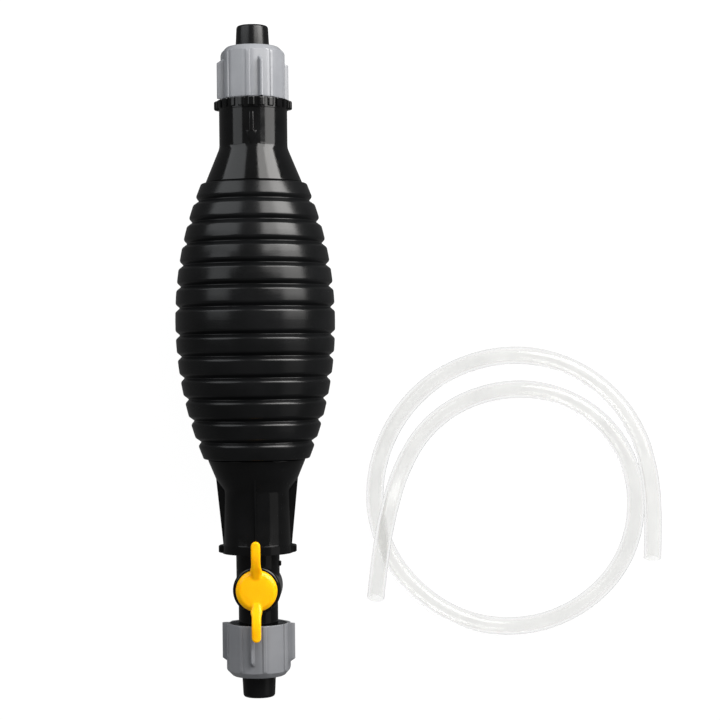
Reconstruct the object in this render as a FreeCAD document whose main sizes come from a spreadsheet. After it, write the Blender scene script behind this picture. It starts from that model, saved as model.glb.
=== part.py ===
import FreeCAD, Part
import math
import os

import Sketcher

# Siphon bulb pump: a ribbed squeeze bulb between two rigid necks, a check valve in each neck,
# a hose coupling at each end, a stopcock before the outlet coupling, and a loose clear hose.
#
# Frame, in millimetres: the pump lies along Y, its inlet towards +Y, and +Z is up. Its axis is
# at x = 0 and at the height axis_height, and y = 0 is halfway between the tips of its sleeves.
# An outline is a list of corners (radius, distance along the pump's axis).

DIMENSIONS = {
    # whole pump
    "axis_height": 45.0,
    "half_length": 189.0,
    # bulb: its crowns follow one large arc
    "bulb_radius": 45.0,
    "bulb_arc": 205.0,
    "bulb_half": 77.4,
    "bulb_middle": 22.5,
    "bulb_wall": 2.2,
    "mouth_radius": 24.0,
    "lip_depth": 3.2,
    "rib_pitch": 12.0,
    "middle_rib": 15.2,
    "groove_depth": 2.5,
    "groove_width": 3.4,
    # necks
    "snap_radius": 25.3,
    "snap_length": 9.0,
    "throat_radius": 21.0,
    "inlet_cone": 27.2,
    "inlet_neck_radius": 19.2,
    "inlet_neck_start": 120.0,
    "outlet_cone": 27.4,
    "outlet_waist_radius": 23.1,
    "outlet_waist": 65.9,
    "outlet_neck_radius": 18.9,
    "outlet_neck_start": 73.1,
    "pocket_radius": 15.3,
    "bore_radius": 5.5,
    # anti-turn rings on the necks
    "inlet_ring_start": 140.5,
    "inlet_ring_end": 145.9,
    "inlet_ring_radius": 19.7,
    "tooth_radius": 20.5,
    "tooth_width": 3.6,
    "tooth_count": 22,
    "outlet_ring_start": 103.6,
    "outlet_ring_end": 108.0,
    "outlet_ring_radius": 19.9,
    "lug_radius": 22.0,
    "lug_width": 6.0,
    "fin_thickness": 1.6,
    "fin_radius": 19.5,
    "arrow_top": 138.5,
    "arrow_head": 128.0,
    "arrow_tip": 120.5,
    "arrow_shaft": 1.1,
    "arrow_barb": 3.0,
    "arrow_proud": 0.45,
    # hose couplings, the same at both ends
    "thread_root": 14.1,
    "thread_crest": 15.5,
    "thread_pitch": 3.0,
    "thread_start": 150.0,
    "thread_length": 15.0,
    "seat_plane": 167.4,
    "gasket_thickness": 2.0,
    "flange_thickness": 3.0,
    "flange_radius": 14.5,
    "slip_thickness": 1.5,
    "sleeve_root": 9.5,
    "sleeve_tip": 8.9,
    "tail_radius": 8.0,
    "tail_length": 16.4,
    "hose_radius": 5.0,
    "hose_bore": 3.75,
    "hose_socket": 31.0,
    "nut_start": 147.4,
    "nut_end": 177.0,
    "nut_corner": 18.05,
    "nut_corner_flat": 2.0,
    "nut_bore": 16.0,
    "nut_hole": 9.85,
    "nut_end_wall": 3.0,
    "nut_bevel": 4.0,
    "nut_rib_radius": 20.8,
    "nut_rib_width": 3.0,
    "nut_rib_end": 169.9,
    # check valves, measured downstream from the seat's upstream face
    "inlet_valve_at": 138.0,
    "outlet_valve_at": 77.0,
    "seat_radius": 15.25,
    "seat_hole": 7.0,
    "seat_thickness": 4.0,
    "poppet_radius": 10.0,
    "poppet_thickness": 2.5,
    "poppet_stem": 2.2,
    "poppet_end": 17.5,
    "cage_inner": 13.2,
    "cage_end": 19.0,
    "spider_thickness": 3.0,
    "spider_hub": 4.6,
    "spider_arm": 3.0,
    "spring_radius": 3.9,
    "spring_wire": 0.8,
    "spring_pitch": 1.9,
    # stopcock, its barrel upright across the pump's axis
    "barrel_at": 127.6,
    "barrel_radius": 13.4,
    "barrel_half": 15.5,
    "barrel_edge": 1.8,
    "spigot_start": 96.5,
    "upper_pipe": 12.25,
    "lower_pipe": 11.1,
    "collar_start": 150.4,
    "plug_radius": 9.15,
    "plug_bore_gap": 0.05,
    "plug_tail": 7.0,
    "clip_inner": 6.25,
    "clip_outer": 10.2,
    "clip_thickness": 0.8,
    "ring_wire": 0.85,
    "plug_ring_at": 10.5,
    "stem_side": 7.0,
    "stem_top": 18.5,
    # lever
    "disc_radius": 11.6,
    "disc_bottom": 16.0,
    "disc_top": 19.8,
    "lever_half": 27.9,
    "blade_width": 5.3,
    "blade_under": 21.9,
    "blade_top": 25.2,
}

NUT_CLOCKING = {"inlet": 17.0, "outlet": 8.6}

# The loose hose's route: it starts at the cut end near the outlet, crosses over its own ring in
# a long low hump, makes one and a half turns on the floor and ends leaning on its first turn.
HOSE_FLOOR = 5.1
HOSE_ROUTE = [
    (66.5, -139.0, HOSE_FLOOR),
    (69.0, -115.5, 14.8),
    (73.5, -90.0, 18.2),
    (81.5, -64.5, 6.5),
    (95.0, -41.5, HOSE_FLOOR),
    (115.0, -26.0, HOSE_FLOOR),
    (139.0, -18.0, HOSE_FLOOR),
    (164.0, -18.0, HOSE_FLOOR),
    (188.5, -27.5, HOSE_FLOOR),
    (208.0, -45.5, HOSE_FLOOR),
    (219.0, -69.5, HOSE_FLOOR),
    (219.5, -97.0, HOSE_FLOOR),
    (210.0, -122.5, HOSE_FLOOR),
    (191.5, -142.0, HOSE_FLOOR),
    (168.0, -154.0, HOSE_FLOOR),
    (141.5, -157.5, HOSE_FLOOR),
    (115.5, -152.0, HOSE_FLOOR),
    (92.5, -137.5, HOSE_FLOOR),
    (75.0, -116.5, HOSE_FLOOR),
    (66.0, -90.0, HOSE_FLOOR),
    (67.5, -62.0, HOSE_FLOOR),
    (78.5, -35.5, HOSE_FLOOR),
    (98.5, -13.5, HOSE_FLOOR),
    (125.0, -0.5, HOSE_FLOOR),
    (154.0, 3.0, HOSE_FLOOR),
    (181.5, -4.0, HOSE_FLOOR),
    (205.0, -20.5, 6.0),
    (220.5, -43.5, 10.6),
    (227.0, -69.5, 12.6),
    (228.5, -95.0, 11.4),
    (228.5, -117.5, HOSE_FLOOR),
]


class Size:
    """A length that carries its value and the sheet expression that gives it."""

    def __init__(self, text, value):
        self.text = text
        self.value = value

    def _with(self, other, sign, value):
        return Size(f"({self.text} {sign} {text_of(other)})", value)

    def __add__(self, other):
        return self._with(other, "+", self.value + value_of(other))

    def __sub__(self, other):
        return self._with(other, "-", self.value - value_of(other))

    def __mul__(self, other):
        return self._with(other, "*", self.value * value_of(other))

    def __truediv__(self, other):
        return self._with(other, "/", self.value / value_of(other))

    def __neg__(self):
        return Size(f"(-1 * {self.text})", -self.value)


def value_of(length):
    return length.value if isinstance(length, Size) else float(length)


def text_of(length):
    return length.text if isinstance(length, Size) else repr(float(length))


def root_of(length):
    return Size(f"sqrt({length.text})", math.sqrt(length.value))


doc = FreeCAD.newDocument("SiphonBulbPump")
sheet = doc.addObject("Spreadsheet::Sheet", "Sizes")
for row, (alias, value) in enumerate(DIMENSIONS.items(), start=1):
    sheet.set(f"A{row}", alias)
    sheet.set(f"B{row}", str(value))
    sheet.setAlias(f"B{row}", alias)
doc.recompute()


class Lookup:
    """Gives a sheet cell as a Size: d.nut_bore."""

    def __getattr__(self, alias):
        return Size(f"Sizes.{alias}", DIMENSIONS[alias])


d = Lookup()
parts = []


# ---------------------------------------------------------------- features

def bind(feature, name, length):
    """Sets one property of a feature, tied to the sheet where it comes from there."""
    if isinstance(length, Size):
        feature.setExpression(name, length.text)
    else:
        setattr(feature, name, length)


def new_body(label):
    body = doc.addObject("PartDesign::Body", label + "_body")
    body.Label = label
    parts.append(body)
    return body


def origin_plane(body, role):
    return next(item for item in body.Origin.OriginFeatures if item.Role == role)


def new_sketch(body, role="XY_Plane", offset=None):
    sketch = body.newObject("Sketcher::SketchObject", body.Label + "_sketch")
    sketch.AttachmentSupport = [(origin_plane(body, role), "")]
    sketch.MapMode = "FlatFace"
    if offset is not None:
        sketch.setExpression("AttachmentOffset.Base.z", text_of(offset))
    return sketch


def pin_point(sketch, geometry, end, corner):
    """Holds one end of a line at a corner (across, along), each a Size or a number."""
    for kind, axis, length in (("DistanceX", -2, corner[0]), ("DistanceY", -1, corner[1])):
        if value_of(length) == 0:
            sketch.addConstraint(Sketcher.Constraint("PointOnObject", geometry, end, axis))
            continue
        item = Sketcher.Constraint(kind, -1, 1, geometry, end, value_of(length))
        index = sketch.addConstraint(item)
        if isinstance(length, Size):
            sketch.setExpression(f"Constraints[{index}]", length.text)


def outline(body, corners, role="XY_Plane", offset=None):
    """A closed outline of straight lines through the corners."""
    sketch = new_sketch(body, role, offset)
    places = [FreeCAD.Vector(value_of(a), value_of(b), 0) for a, b in corners]
    count = len(corners)
    lines = [Part.LineSegment(places[i], places[(i + 1) % count]) for i in range(count)]
    sketch.addGeometry(lines)
    joins = [Sketcher.Constraint("Coincident", i, 2, (i + 1) % count, 1) for i in range(count)]
    sketch.addConstraint(joins)
    for i, corner in enumerate(corners):
        pin_point(sketch, i, 1, corner)
    return sketch


def circle(body, centre, radius, role="XY_Plane", offset=None):
    sketch = new_sketch(body, role, offset)
    place = FreeCAD.Vector(value_of(centre[0]), value_of(centre[1]), 0)
    sketch.addGeometry(Part.Circle(place, FreeCAD.Vector(0, 0, 1), value_of(radius)))
    index = sketch.addConstraint(Sketcher.Constraint("Radius", 0, value_of(radius)))
    sketch.setExpression(f"Constraints[{index}]", radius.text)
    pin_point(sketch, 0, 3, centre)
    return sketch


def spin(body, sketch):
    """Turns an outline about its sketch's upright axis into a solid of revolution."""
    feature = body.newObject("PartDesign::Revolution", body.Label + "_turned")
    feature.Profile = sketch
    feature.ReferenceAxis = (sketch, ["V_Axis"])
    feature.Angle = 360
    return feature


def bore(body, sketch):
    """Turns an outline about its sketch's upright axis and takes it out of the body."""
    doc.recompute()
    before = body.Shape.Volume
    feature = body.newObject("PartDesign::Groove", body.Label + "_bored")
    feature.Profile = sketch
    feature.ReferenceAxis = (sketch, ["V_Axis"])
    feature.Angle = 360
    doc.recompute()
    assert feature.Shape.Volume < before, f"{body.Label}: a bore cut nothing"
    return feature


def pad(body, sketch, length, both_sides=True, reverse=False):
    feature = body.newObject("PartDesign::Pad", body.Label + "_pad")
    feature.Profile = sketch
    feature.SideType = "Symmetric" if both_sides else "One side"
    feature.Reversed = reverse
    bind(feature, "Length", length)
    return feature


def pocket(body, sketch, length, both_sides=True, reverse=False):
    doc.recompute()
    before = body.Shape.Volume
    feature = body.newObject("PartDesign::Pocket", body.Label + "_pocket")
    feature.Profile = sketch
    feature.SideType = "Symmetric" if both_sides else "One side"
    feature.Reversed = reverse
    bind(feature, "Length", length)
    doc.recompute()
    assert feature.Shape.Volume < before, f"{body.Label}: a pocket cut nothing"
    return feature


def repeat_round(body, feature, count):
    """Repeats a feature evenly about the body's own Y axis."""
    pattern = body.newObject("PartDesign::PolarPattern", body.Label + "_round")
    pattern.Originals = [feature]
    pattern.Axis = (origin_plane(body, "Y_Axis"), [""])
    pattern.Angle = 360
    pattern.Occurrences = count
    body.Tip = pattern
    return pattern


def helix(body, sketch, pitch, height):
    feature = body.newObject("PartDesign::AdditiveHelix", body.Label + "_helix")
    feature.Profile = sketch
    feature.ReferenceAxis = (sketch, ["V_Axis"])
    feature.Mode = 0
    bind(feature, "Pitch", pitch)
    bind(feature, "Height", height)
    return feature


def round_edges(body, chosen, radius):
    """Rounds the edges of the body's last feature that the test picks."""
    doc.recompute()
    base = body.Tip
    names = [f"Edge{i}" for i, edge in enumerate(base.Shape.Edges, start=1) if chosen(edge)]
    assert names, f"{body.Label}: no edge to round"
    feature = body.newObject("PartDesign::Fillet", body.Label + "_rounded")
    feature.Base = (base, names)
    bind(feature, "Radius", radius)
    return feature


def place(item, along=0.0, turned=0.0, clocked=0.0):
    """Puts a part at its distance along Y, turned about Z and clocked about its own Y."""
    about_z = FreeCAD.Rotation(FreeCAD.Vector(0, 0, 1), turned)
    about_y = FreeCAD.Rotation(FreeCAD.Vector(0, 1, 0), clocked)
    item.Placement = FreeCAD.Placement(FreeCAD.Vector(), about_z.multiply(about_y))
    item.setExpression("Placement.Base.y", text_of(along))
    item.setExpression("Placement.Base.z", d.axis_height.text)


# The two ends share their outlines: the outlet end is the inlet end turned half round.
TURNED = {"inlet": 0.0, "outlet": 180.0}


# ---------------------------------------------------------------- bulb

def crown(along):
    """Radius of the bulb's crowns at a distance from its middle."""
    return d.bulb_radius - d.bulb_arc + root_of(d.bulb_arc * d.bulb_arc - along * along)


def rib_skin(inset, half_groove):
    """One side of the bulb's ribs, from the bottom groove to the top one."""
    corners = []
    for step in range(-6, 6):
        side = 1 if step >= 0 else -1
        order = step if step >= 0 else -step - 1
        middle = (d.middle_rib / 2 + d.rib_pitch * order) * side
        corners.append((crown(middle - half_groove) - inset, middle - half_groove))
        corners.append((crown(middle) - inset - d.groove_depth, middle))
        corners.append((crown(middle + half_groove) - inset, middle + half_groove))
        if step == -1:
            corners.append((d.bulb_radius - inset, 0))
    return corners


def make_bulb():
    body = new_body("bulb")
    end = d.bulb_half
    lip = end - d.lip_depth
    behind_lip = lip - 1.4
    outside = rib_skin(0.0, d.groove_width / 2)
    inside = rib_skin(d.bulb_wall, d.groove_width / 2 + 1.6)
    corners = [(d.mouth_radius, -end), (crown(end) - 1.2, -end), (crown(end), -(end - 1.2))]
    corners += outside
    corners += [(crown(end), end - 1.2), (crown(end) - 1.2, end), (d.mouth_radius, end)]
    corners += [(d.mouth_radius, lip), (d.snap_radius + 1.1, behind_lip)]
    corners += reversed(inside)
    corners += [(d.snap_radius + 1.1, -behind_lip), (d.mouth_radius, -lip)]
    spin(body, outline(body, corners))
    place(body, along=d.bulb_middle)


# ---------------------------------------------------------------- necks

def snap_outline(mouth, cone):
    """The neck's collar that the bulb's lip snaps over, outside corners from the bulb outwards."""
    groove = d.mouth_radius - 0.05
    return [
        (d.throat_radius, mouth - d.snap_length),
        (d.throat_radius + 1.5, mouth - d.snap_length),
        (d.snap_radius, mouth - 6.4),
        (d.snap_radius, mouth - 4.2),
        (groove, mouth - 3.5),
        (groove, mouth + 0.1),
        (cone - 0.5, mouth + 0.1),
        (cone, mouth + 0.5),
    ]


def add_thread(body):
    """A raised helical thread on the end of a coupling."""
    start = d.thread_start
    root = d.thread_root - 0.1
    corners = [
        (root, start),
        (d.thread_crest, start + 0.55),
        (d.thread_crest, start + 1.05),
        (root, start + 1.6),
    ]
    helix(body, outline(body, corners), d.thread_pitch, d.thread_length - 1.6)


def add_lugs(body, low, high):
    """Two square lugs, one each side of a ring."""
    sketch = outline(body, [(17.0, low), (d.lug_radius, low), (d.lug_radius, high), (17.0, high)])
    lug = pad(body, sketch, d.lug_width)
    repeat_round(body, lug, 2)


def make_inlet_neck():
    body = new_body("inlet_neck")
    mouth = d.bulb_middle + d.bulb_half
    radius = d.inlet_neck_radius
    socket = d.seat_plane - d.tail_length + 1.0
    corners = snap_outline(mouth, d.inlet_cone) + [
        (radius + 0.35, d.inlet_neck_start - 1.0),
        (radius, d.inlet_neck_start + 1.0),
        (radius, d.inlet_ring_start),
        (d.inlet_ring_radius, d.inlet_ring_start),
        (d.inlet_ring_radius, d.inlet_ring_end),
        (d.thread_root, d.inlet_ring_end),
        (d.thread_root, d.seat_plane),
        (d.tail_radius + 0.05, d.seat_plane),
        (d.tail_radius + 0.05, socket - 1.0),
        (d.bore_radius, socket - 1.0),
        (d.bore_radius, d.inlet_valve_at),
        (d.pocket_radius, d.inlet_valve_at),
        (d.pocket_radius, d.inlet_valve_at - d.cage_end - 1.0),
        (d.throat_radius, mouth + 3.5),
    ]
    spin(body, outline(body, corners))
    low = d.inlet_ring_start + 0.6
    high = d.inlet_ring_end
    teeth = [(18.5, low), (d.tooth_radius, low), (d.tooth_radius, high), (18.5, high)]
    tooth = pad(body, outline(body, teeth), d.tooth_width)
    repeat_round(body, tooth, DIMENSIONS["tooth_count"])
    add_lugs(body, d.inlet_ring_start, d.inlet_ring_end - 0.4)
    add_thread(body)
    add_arrow(body)
    place(body)


def add_arrow(body):
    """A plain raised arrow on top of the inlet neck that shows the way the liquid flows."""
    under = d.inlet_neck_radius - 1.0
    corners = [
        (0, d.arrow_tip),
        (d.arrow_barb, d.arrow_head),
        (d.arrow_shaft, d.arrow_head),
        (d.arrow_shaft, d.arrow_top),
        (-d.arrow_shaft, d.arrow_top),
        (-d.arrow_shaft, d.arrow_head),
        (-d.arrow_barb, d.arrow_head),
    ]
    pad(body, outline(body, corners, offset=under), d.arrow_proud + 1.0, both_sides=False)


def make_outlet_neck():
    body = new_body("outlet_neck")
    mouth = d.bulb_half - d.bulb_middle
    radius = d.outlet_neck_radius
    shoulder = d.pocket_radius - 3.3
    corners = snap_outline(mouth, d.outlet_cone) + [
        (d.outlet_waist_radius, d.outlet_waist),
        (radius, d.outlet_neck_start),
        (radius, d.outlet_ring_start),
        (d.outlet_ring_radius, d.outlet_ring_start),
        (d.outlet_ring_radius, d.outlet_ring_end),
        (d.pocket_radius, d.outlet_ring_end),
        (d.pocket_radius, d.outlet_valve_at),
        (shoulder, d.outlet_valve_at),
        (shoulder, d.outlet_valve_at - 3.0),
        (d.throat_radius, mouth + 3.5),
    ]
    spin(body, outline(body, corners))
    fin = [
        (17.5, d.outlet_waist),
        (d.outlet_waist_radius, d.outlet_waist),
        (d.fin_radius, d.outlet_ring_start - 1.5),
        (17.5, d.outlet_ring_start - 1.5),
    ]
    repeat_round(body, pad(body, outline(body, fin), d.fin_thickness), 4)
    add_lugs(body, d.outlet_ring_start - 0.4, d.outlet_ring_end - 0.2)
    place(body, turned=TURNED["outlet"])


# ---------------------------------------------------------------- check valves

def make_valve(end, along):
    """The check valve of one neck: both let liquid through towards the outlet, along -Y."""
    seat = new_body(end + "_valve_seat")
    corners = [
        (d.seat_hole, 0),
        (d.seat_radius, 0),
        (d.seat_radius, d.seat_thickness),
        (d.seat_hole + 0.8, d.seat_thickness),
        (d.seat_hole, d.seat_thickness - 0.8),
    ]
    spin(seat, outline(seat, corners))

    poppet = new_body(end + "_poppet")
    face = d.seat_thickness + 0.05
    back = face + d.poppet_thickness
    corners = [
        (0, face),
        (d.poppet_radius, face),
        (d.poppet_radius, back - 0.8),
        (d.poppet_radius - 0.8, back),
        (d.poppet_stem, back),
        (d.poppet_stem, d.poppet_end - 0.6),
        (d.poppet_stem - 0.6, d.poppet_end),
        (0, d.poppet_end),
    ]
    spin(poppet, outline(poppet, corners))

    cage = new_body(end + "_valve_cage")
    wall = [
        (d.cage_inner, d.seat_thickness),
        (d.seat_radius, d.seat_thickness),
        (d.seat_radius, d.cage_end),
        (d.cage_inner, d.cage_end),
    ]
    spin(cage, outline(cage, wall))
    spider = d.cage_end - d.spider_thickness
    arm = [(3.0, spider), (d.cage_inner + 1.0, spider)]
    arm += [(d.cage_inner + 1.0, d.cage_end), (3.0, d.cage_end)]
    repeat_round(cage, pad(cage, outline(cage, arm), d.spider_arm), 4)
    hub = [(0, spider), (d.spider_hub, spider), (d.spider_hub, d.cage_end), (0, d.cage_end)]
    spin(cage, outline(cage, hub))
    guide = d.poppet_stem + 0.05
    hole = [(0, spider - 1.0), (guide, spider - 1.0), (guide, d.cage_end + 1.0), (0, d.cage_end + 1.0)]
    bore(cage, outline(cage, hole))

    spring = new_body(end + "_spring")
    wire = d.spring_wire / 2
    first = back + wire + 0.05
    helix(spring, circle(spring, (d.spring_radius, first), wire), d.spring_pitch,
          spider - first - wire - 0.05)

    for body in (seat, poppet, cage, spring):
        place(body, along=along, turned=180.0)


# ---------------------------------------------------------------- hose couplings

def make_coupling(end):
    """Gasket, sleeve, slip ring and union nut of one end, outlined outwards from the middle."""
    top_of_gasket = d.seat_plane + d.gasket_thickness
    top_of_flange = top_of_gasket + d.flange_thickness
    top_of_slip = top_of_flange + d.slip_thickness

    gasket = new_body(end + "_gasket")
    inner = d.tail_radius + 0.05
    corners = [(inner, d.seat_plane), (d.flange_radius, d.seat_plane)]
    corners += [(d.flange_radius, top_of_gasket), (inner, top_of_gasket)]
    spin(gasket, outline(gasket, corners))

    sleeve = new_body(end + "_sleeve")
    tail = d.seat_plane - d.tail_length + 2.0
    stop = d.half_length - d.hose_socket
    corners = [
        (d.hose_bore, tail),
        (d.tail_radius, tail),
        (d.tail_radius, top_of_gasket),
        (d.flange_radius, top_of_gasket),
        (d.flange_radius, top_of_flange),
        (d.sleeve_root, top_of_flange),
        (d.sleeve_root, d.nut_end),
        (d.sleeve_tip, d.half_length),
        (d.hose_radius, d.half_length),
        (d.hose_radius, stop),
        (d.hose_bore, stop),
    ]
    spin(sleeve, outline(sleeve, corners))
    tip = DIMENSIONS["half_length"]

    def outer_tip(edge):
        low = edge.BoundBox
        return abs(low.YMin - tip) < 1e-3 and low.XMax > DIMENSIONS["hose_radius"] + 1

    round_edges(sleeve, outer_tip, 1.8)

    slip = new_body(end + "_slip_ring")
    gap = 0.05
    corners = [(d.nut_hole, top_of_flange + gap), (d.flange_radius, top_of_flange + gap)]
    corners += [(d.flange_radius, top_of_slip), (d.nut_hole, top_of_slip)]
    spin(slip, outline(slip, corners))

    make_nut(end)
    for body in (gasket, sleeve, slip):
        place(body, turned=TURNED[end])


def make_nut(end):
    """An eight-sided union nut with flattened corners and four grip ribs, open towards the pump."""
    nut = new_body(end + "_nut")
    corners = []
    for step in range(8):
        angle = math.radians(22.5 + 45 * step)
        for half in (-0.5, 0.5):
            out = (d.nut_corner * math.cos(angle), d.nut_corner * math.sin(angle))
            across = (
                d.nut_corner_flat * (half * math.sin(angle)),
                d.nut_corner_flat * (half * math.cos(angle)),
            )
            corners.append((out[0] - across[0], out[1] + across[1]))
    blank = outline(nut, corners, role="XZ_Plane", offset=-d.nut_start)
    pad(nut, blank, d.nut_end - d.nut_start, both_sides=False, reverse=True)
    slope = 2.6
    rib = [
        (17.0, d.nut_start),
        (d.nut_rib_radius, d.nut_start),
        (d.nut_rib_radius, d.nut_rib_end - slope),
        (d.nut_corner - 0.9, d.nut_rib_end),
        (17.0, d.nut_rib_end),
    ]
    repeat_round(nut, pad(nut, outline(nut, rib), d.nut_rib_width), 4)
    far = d.nut_corner + 1.0
    bevel = [
        (d.nut_corner - d.nut_bevel, d.nut_end),
        (far, d.nut_end - d.nut_bevel),
        (far, d.nut_end + 1.0),
        (d.nut_corner - d.nut_bevel, d.nut_end + 1.0),
    ]
    bore(nut, outline(nut, bevel))
    inner_end = d.nut_end - d.nut_end_wall + 0.05
    cavity = [
        (0, d.nut_start - 1.0),
        (d.nut_bore, d.nut_start - 1.0),
        (d.nut_bore, inner_end),
        (d.nut_hole, inner_end),
        (d.nut_hole, d.nut_end + 1.0),
        (0, d.nut_end + 1.0),
    ]
    bore(nut, outline(nut, cavity))
    place(nut, turned=TURNED[end], clocked=NUT_CLOCKING[end])


# ---------------------------------------------------------------- stopcock

def make_valve_body():
    body = new_body("valve_body")
    groove = d.spigot_start + 4.0
    corners = [
        (0, d.spigot_start),
        (d.seat_radius, d.spigot_start),
        (d.seat_radius, groove),
        (d.seat_radius - 1.5, groove),
        (d.seat_radius - 1.5, groove + 2.2),
        (d.seat_radius, groove + 2.2),
        (d.seat_radius, d.outlet_ring_end),
        (d.upper_pipe, d.outlet_ring_end),
        (d.upper_pipe - 0.1, d.barrel_at),
        (d.lower_pipe, d.barrel_at),
        (d.lower_pipe, d.collar_start - 1.5),
        (d.thread_root, d.collar_start),
        (d.thread_root, d.seat_plane),
        (0, d.seat_plane),
    ]
    spin(body, outline(body, corners))
    add_thread(body)
    pad(body, circle(body, (0, d.barrel_at), d.barrel_radius), d.barrel_half * 2)

    def barrel_rim(edge):
        curve = edge.Curve
        if not isinstance(curve, Part.Circle) or abs(curve.Axis.z) < 0.99:
            return False
        return abs(abs(curve.Center.z) - DIMENSIONS["barrel_half"]) < 1e-3

    round_edges(body, barrel_rim, d.barrel_edge)
    flow = [
        (0, d.spigot_start - 1.0),
        (12.6, d.spigot_start - 1.0),
        (12.0, d.spigot_start),
        (d.bore_radius, d.spigot_start + 8.0),
        (d.bore_radius, d.seat_plane - d.tail_length),
        (d.tail_radius + 0.05, d.seat_plane - d.tail_length),
        (d.tail_radius + 0.05, d.seat_plane + 1.0),
        (0, d.seat_plane + 1.0),
    ]
    bore(body, outline(body, flow))
    seat = circle(body, (0, d.barrel_at), d.plug_radius + d.plug_bore_gap)
    pocket(body, seat, d.barrel_half * 2 + 2.0)
    nib = d.barrel_at - 13.4
    edge = d.upper_pipe + 0.9
    corners = [(-edge, nib - 1.3), (-(d.upper_pipe - 1.0), nib - 1.8)]
    corners += [(-(d.upper_pipe - 1.0), nib + 1.8), (-edge, nib + 1.0)]
    pad(body, outline(body, corners), 3.0)
    place(body, turned=TURNED["outlet"])


def make_spigot_ring():
    ring = doc.addObject("Part::Torus", "spigot_ring_torus")
    ring.Label = "spigot_ring"
    wire = 0.75
    ring.setExpression("Radius1", (d.seat_radius - wire).text)
    ring.Radius2 = wire - 0.02
    about_x = FreeCAD.Rotation(FreeCAD.Vector(1, 0, 0), 90)
    ring.Placement = FreeCAD.Placement(FreeCAD.Vector(), about_x)
    ring.setExpression("Placement.Base.y", (-(d.spigot_start + 5.1)).text)
    ring.setExpression("Placement.Base.z", d.axis_height.text)
    parts.append(ring)


def stand_on_barrel(item, height=0.0):
    """Puts an upright part on the stopcock's barrel axis."""
    item.setExpression("Placement.Base.y", (-d.barrel_at).text)
    item.setExpression("Placement.Base.z", (d.axis_height + height).text)


def make_valve_plug():
    body = new_body("valve_plug")
    root = d.plug_radius - d.ring_wire * 2
    low = -(d.barrel_half - 0.5)
    clip_at = -(d.barrel_half + 0.4)
    corners = [(0, low - 2.8), (d.plug_tail, low - 2.8)]
    corners += [(d.plug_tail, clip_at - d.clip_thickness - 0.02)]
    corners += [(d.clip_inner - 0.05, clip_at - d.clip_thickness - 0.02)]
    corners += [(d.clip_inner - 0.05, clip_at), (d.plug_tail, clip_at)]
    corners += [(d.plug_tail, low), (d.plug_radius, low)]
    for at in (-d.plug_ring_at, d.plug_ring_at):
        corners += [(d.plug_radius, at - 0.95), (root - 0.02, at - 0.95)]
        corners += [(root - 0.02, at + 0.95), (d.plug_radius, at + 0.95)]
    corners += [(d.plug_radius, d.barrel_half - 0.2), (0, d.barrel_half - 0.2)]
    spin(body, outline(body, corners, role="XZ_Plane"))
    half = d.stem_side / 2
    square = [(-half, -half), (half, -half), (half, half), (-half, half)]
    pad(body, outline(body, square), d.stem_top, both_sides=False)
    pocket(body, circle(body, (0, 0), d.bore_radius, role="XZ_Plane"), d.plug_radius * 2 + 2.0)
    stand_on_barrel(body)


def make_plug_rings():
    rings = []
    for name, at in (("lower", -d.plug_ring_at), ("upper", d.plug_ring_at)):
        ring = doc.addObject("Part::Torus", f"plug_ring_{name}")
        ring.setExpression("Radius1", (d.plug_radius - d.ring_wire).text)
        ring.setExpression("Radius2", (d.ring_wire - 0.02).text)
        stand_on_barrel(ring, at)
        rings.append(ring)
    group = doc.addObject("Part::Compound", "plug_rings_group")
    group.Links = rings
    group.Label = "plug_rings"
    parts.append(group)


def make_plug_clip():
    """A split spring ring that snaps into the plug's tail behind the barrel."""
    body = new_body("plug_clip")
    angle = math.radians(20)
    top = -(d.barrel_half + 0.41)
    sketch = circle(body, (0, 0), d.clip_outer, offset=top)
    pad(body, sketch, d.clip_thickness, both_sides=False, reverse=True)
    hole = circle(body, (0, 0), d.clip_inner)
    pocket(body, hole, d.barrel_half * 3)
    reach = 12.0
    wedge = [(0, 0), (reach, -reach * math.tan(angle)), (reach, reach * math.tan(angle))]
    pocket(body, outline(body, wedge), d.barrel_half * 3)
    stand_on_barrel(body)


def make_lever():
    """A domed disc with two raised blades in line, pressed on the plug's square stem."""
    body = new_body("lever")
    rim = d.disc_radius
    disc = [
        (0, d.disc_bottom),
        (rim - 0.4, d.disc_bottom),
        (rim, d.disc_bottom + 0.4),
        (rim, d.disc_top - 1.4),
        (rim - 0.5, d.disc_top - 0.6),
        (rim - 1.6, d.disc_top),
        (rim / 2, d.disc_top + 0.35),
        (0, d.disc_top + 0.45),
    ]
    spin(body, outline(body, disc, role="XZ_Plane"))
    for side in (1, -1):
        blade = [
            (rim * 0.42 * side, d.disc_top - 1.0),
            (rim * side, d.disc_top - 2.0),
            (rim * 1.18 * side, d.blade_under - 1.8),
            (rim * 1.5 * side, d.blade_under),
            (d.lever_half * side, d.blade_under),
            (d.lever_half * side, d.blade_top - 0.4),
            ((d.lever_half - 1.5) * side, d.blade_top),
            (rim * 1.35 * side, d.blade_top - 0.3),
            (rim * 1.05 * side, d.blade_top - 1.8),
            (rim * 0.8 * side, d.disc_top + 1.4),
        ]
        pad(body, outline(body, blade, role="YZ_Plane"), d.blade_width)

    def tip_corner(edge):
        box = edge.BoundBox
        upright = box.XLength < 1e-3 and box.YLength < 1e-3
        return upright and abs(abs(box.YMin) - DIMENSIONS["lever_half"]) < 1e-3

    round_edges(body, tip_corner, d.blade_width / 2 - 0.05)
    half = d.stem_side / 2 + 0.05
    square = [(-half, -half), (half, -half), (half, half), (-half, half)]
    socket = outline(body, square, offset=d.disc_bottom)
    pocket(body, socket, d.stem_top - d.disc_bottom + 0.2, both_sides=False, reverse=True)
    stand_on_barrel(body)


# ---------------------------------------------------------------- hose

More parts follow.
